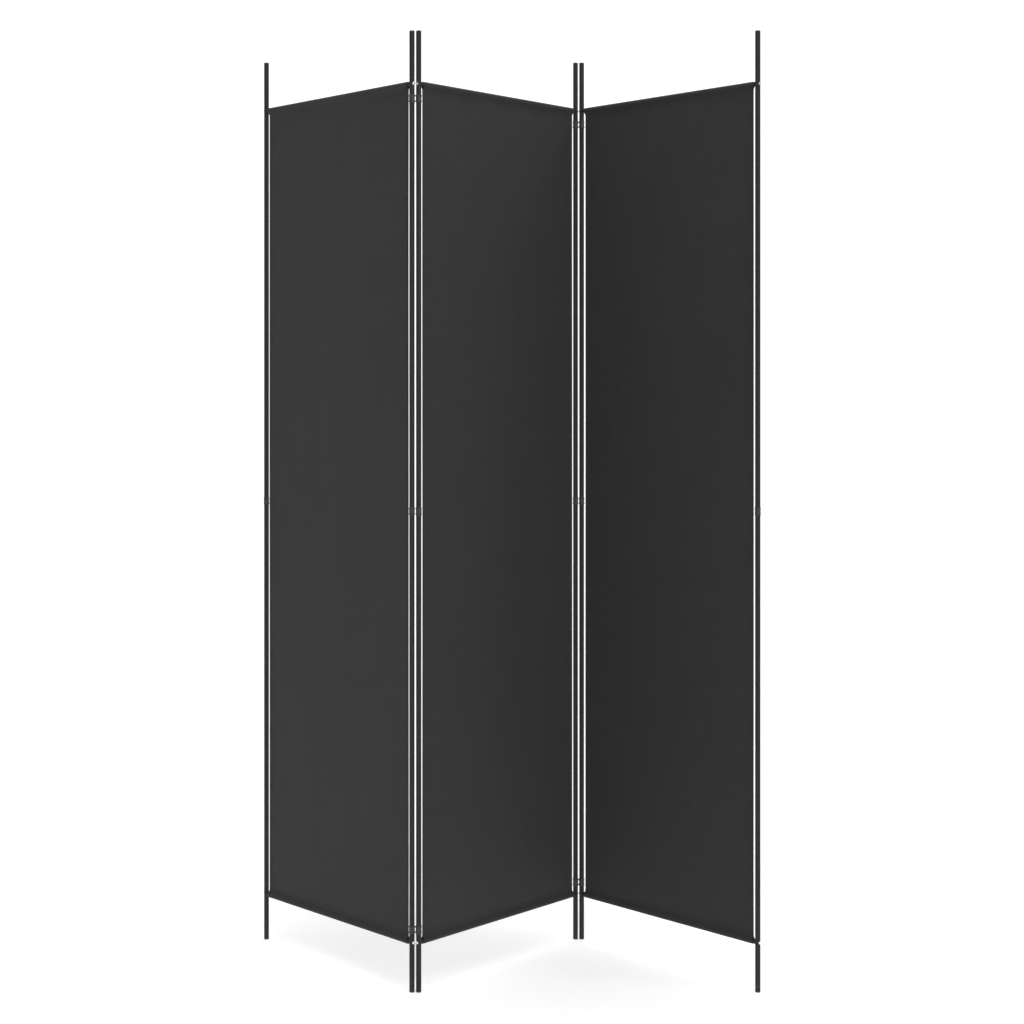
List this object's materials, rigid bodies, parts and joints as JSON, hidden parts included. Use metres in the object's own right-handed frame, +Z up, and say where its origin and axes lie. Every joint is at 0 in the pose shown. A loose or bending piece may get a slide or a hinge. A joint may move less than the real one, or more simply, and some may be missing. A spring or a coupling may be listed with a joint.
{
  "type": "folding room divider screen",
  "caption": "Freestanding fabric room divider: tall steel-framed panels joined by twin-pivot plastic clips, standing in a zigzag or folding flat.",
  "frame": {"origin": "on the floor at the centre of the screen's footprint, which is the middle of the middle panel", "axes": "+Z up; +X along the screen, from the left panel to the right panel; -Y towards the side it is seen from"},
  "size_m": [1.0784, 0.359, 2],
  "materials": {
    "powder_coated_tube": "matte black powder coat",
    "black_plastic": "injection-moulded, satin black",
    "woven_fabric": "plain-weave polyester, charcoal black",
    "nickel_plated_screw": "bright nickel plate",
    "zinc_plated_steel": "zinc plate"
  },
  "bodies": {
    "panel_middle": {"middle_left_pole_upper": "powder_coated_tube", "middle_left_pole_lower": "powder_coated_tube", "middle_left_splice_spigot": "zinc_plated_steel", "middle_left_splice_collar": "black_plastic", "middle_left_top_cap": "black_plastic", "middle_left_foot_cap": "black_plastic", "middle_right_pole_upper": "powder_coated_tube", "middle_right_pole_lower": "powder_coated_tube", "middle_right_splice_spigot": "zinc_plated_steel", "middle_right_splice_collar": "black_plastic", "middle_right_top_cap": "black_plastic", "middle_right_foot_cap": "black_plastic", "middle_top_bar": "powder_coated_tube", "middle_bottom_bar": "powder_coated_tube", "middle_fabric": "woven_fabric", "middle_bar_screws": "nickel_plated_screw", "middle_bar_inserts": "zinc_plated_steel"},
    "clips_left": {"left_hinge_clip_upper": "black_plastic", "left_hinge_clip_lower": "black_plastic"},
    "panel_left": {"left_outer_pole_upper": "powder_coated_tube", "left_outer_pole_lower": "powder_coated_tube", "left_outer_splice_spigot": "zinc_plated_steel", "left_outer_splice_collar": "black_plastic", "left_outer_top_cap": "black_plastic", "left_outer_foot_cap": "black_plastic", "left_inner_pole_upper": "powder_coated_tube", "left_inner_pole_lower": "powder_coated_tube", "left_inner_splice_spigot": "zinc_plated_steel", "left_inner_splice_collar": "black_plastic", "left_inner_top_cap": "black_plastic", "left_inner_foot_cap": "black_plastic", "left_top_bar": "powder_coated_tube", "left_bottom_bar": "powder_coated_tube", "left_fabric": "woven_fabric", "left_bar_screws": "nickel_plated_screw", "left_bar_inserts": "zinc_plated_steel"},
    "clips_right": {"right_hinge_clip_upper": "black_plastic", "right_hinge_clip_lower": "black_plastic"},
    "panel_right": {"right_inner_pole_upper": "powder_coated_tube", "right_inner_pole_lower": "powder_coated_tube", "right_inner_splice_spigot": "zinc_plated_steel", "right_inner_splice_collar": "black_plastic", "right_inner_top_cap": "black_plastic", "right_inner_foot_cap": "black_plastic", "right_outer_pole_upper": "powder_coated_tube", "right_outer_pole_lower": "powder_coated_tube", "right_outer_splice_spigot": "zinc_plated_steel", "right_outer_splice_collar": "black_plastic", "right_outer_top_cap": "black_plastic", "right_outer_foot_cap": "black_plastic", "right_top_bar": "powder_coated_tube", "right_bottom_bar": "powder_coated_tube", "right_fabric": "woven_fabric", "right_bar_screws": "nickel_plated_screw", "right_bar_inserts": "zinc_plated_steel"}
  },
  "joints": [
    {"name": "left_clip_turn", "type": "hinge", "parent": "panel_middle", "child": "clips_left", "pos_m": [-0.17289, -0.17289, 1], "axis": [0, 0, -1], "range_deg": [-45, 45]},
    {"name": "left_panel_fold", "type": "hinge", "parent": "clips_left", "child": "panel_left", "pos_m": [-0.18689, -0.17289, 1], "axis": [0, 0, -1], "range_deg": [-45, 45]},
    {"name": "right_clip_turn", "type": "hinge", "parent": "panel_middle", "child": "clips_right", "pos_m": [0.17289, 0.17289, 1], "axis": [0, 0, -1], "range_deg": [-45, 45]},
    {"name": "right_panel_fold", "type": "hinge", "parent": "clips_right", "child": "panel_right", "pos_m": [0.18689, 0.17289, 1], "axis": [0, 0, -1], "range_deg": [-45, 45]}
  ]
}
